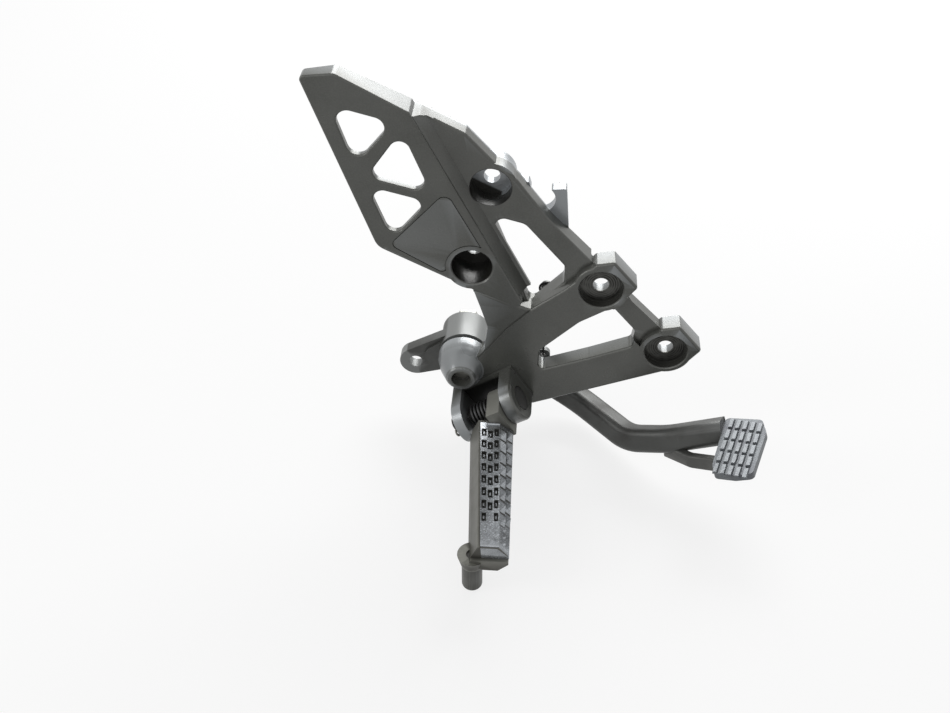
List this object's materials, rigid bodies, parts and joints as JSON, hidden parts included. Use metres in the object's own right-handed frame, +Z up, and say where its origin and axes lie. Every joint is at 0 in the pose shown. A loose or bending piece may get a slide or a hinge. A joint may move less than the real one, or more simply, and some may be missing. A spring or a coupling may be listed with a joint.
{
  "type": "motorcycle footrest hanger",
  "caption": "Right-hand cast footrest hanger of a road motorcycle with pierced heel guard, folding toothed footpeg and brake pedal",
  "frame": {"origin": "Axis of the upper frame bolt hole, on the inboard face that bolts to the frame", "axes": "+X towards the front of the motorcycle, +Y inboard towards the frame and along the bolts, +Z up"},
  "size_m": [0.2378, 0.163, 0.2219],
  "materials": {
    "cast_aluminium": "fine cast surface, satin, grey lacquer, bare in the bolt seats",
    "plated_steel": "smooth plated steel, worn glossy",
    "pad_casting": "bare casting, bar tops rubbed bright",
    "pad_steel": "dull grey steel",
    "bronze": "plain bronze",
    "zinc_steel": "zinc plated, dulled",
    "seal_rubber": "black rubber",
    "peg_casting": "bare casting, dull and warm grey",
    "tread_metal": "bare toothed tread, rib and tooth tops rubbed bright",
    "sensor_steel": "dull turned steel",
    "spring_steel": "dark oiled spring wire"
  },
  "bodies": {
    "hanger": {"hanger_casting": "cast_aluminium", "pedal_shaft": "zinc_steel", "thrust_washer": "zinc_steel", "dust_seal": "seal_rubber", "peg_pin": "zinc_steel", "peg_pin_washer": "zinc_steel", "split_pin": "zinc_steel", "return_spring": "spring_steel"},
    "pedal": {"brake_pedal": "plated_steel", "toe_pad": "pad_casting", "pad_brace": "pad_steel", "pedal_bush": "bronze"},
    "peg": {"footpeg": "peg_casting", "peg_tread": "tread_metal", "bank_sensor": "sensor_steel", "peg_spring": "spring_steel"}
  },
  "joints": [
    {"name": "brake_pedal", "type": "hinge", "parent": "hanger", "child": "pedal", "pos_m": [-0.0727, 0.014, -0.0603], "axis": [0, 1, 0], "range_deg": [0, 8], "stiffness_Nm_per_rad": 8, "springref_deg": -6.88, "deforming": ["return_spring"]},
    {"name": "footpeg_fold", "type": "hinge", "parent": "hanger", "child": "peg", "pos_m": [-0.05511, -0.026, -0.07507], "axis": [-0.848, 0, -0.5299], "range_deg": [0, 60], "stiffness_Nm_per_rad": 0.5, "springref_deg": -28.65}
  ]
}
